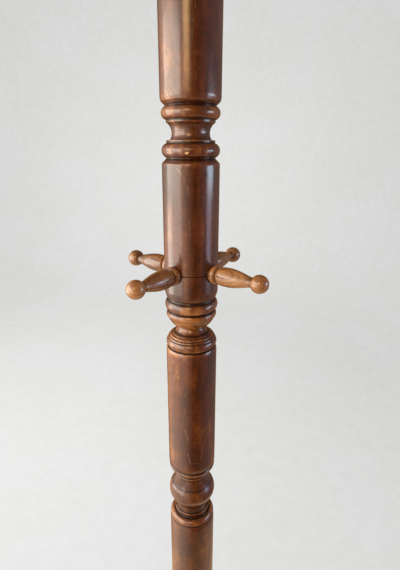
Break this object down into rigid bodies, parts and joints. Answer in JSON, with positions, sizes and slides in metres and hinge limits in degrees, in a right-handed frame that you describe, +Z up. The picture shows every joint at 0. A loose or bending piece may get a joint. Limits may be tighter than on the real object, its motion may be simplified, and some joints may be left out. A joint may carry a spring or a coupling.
{
  "type": "standing coat rack",
  "caption": "Tall standing coat rack: a turned wooden post with beads and coves, two rows of turned pegs with ball ends, a ball finial and curved sawn legs.",
  "frame": {"origin": "centre of the footprint at floor level, on the post's axis", "axes": "+Z up along the post's axis; +X along the lower row's right peg; -Y is the front"},
  "size_m": [0.592, 0.592, 1.8046],
  "materials": {
    "stained_post": "turned hardwood, brown stain, satin lacquer",
    "stained_peg": "turned hardwood, lighter brown stain, satin lacquer, end grain on the balls",
    "stained_leg": "sawn hardwood, brown stain, satin lacquer",
    "bare_beech": "bare beech dowel",
    "zinc_steel": "bright zinc-plated threaded rod",
    "insert_brass": "machined brass",
    "glide_nylon": "moulded nylon"
  },
  "bodies": {
    "root": {"lower_post": "stained_post", "middle_post": "stained_post", "upper_post": "stained_post", "finial": "stained_post", "lower_joint_stud": "zinc_steel", "upper_joint_stud": "zinc_steel", "lower_joint_insert": "insert_brass", "upper_joint_insert": "insert_brass", "lower_peg_front": "stained_peg", "lower_peg_right": "stained_peg", "lower_peg_back": "stained_peg", "lower_peg_left": "stained_peg", "upper_peg_front_right": "stained_peg", "upper_peg_back_right": "stained_peg", "upper_peg_back_left": "stained_peg", "upper_peg_front_left": "stained_peg", "leg_front": "stained_leg", "leg_right": "stained_leg", "leg_back": "stained_leg", "leg_left": "stained_leg", "leg_front_dowels": "bare_beech", "leg_right_dowels": "bare_beech", "leg_back_dowels": "bare_beech", "leg_left_dowels": "bare_beech", "leg_front_glide": "glide_nylon", "leg_right_glide": "glide_nylon", "leg_back_glide": "glide_nylon", "leg_left_glide": "glide_nylon"}
  },
  "joints": []
}
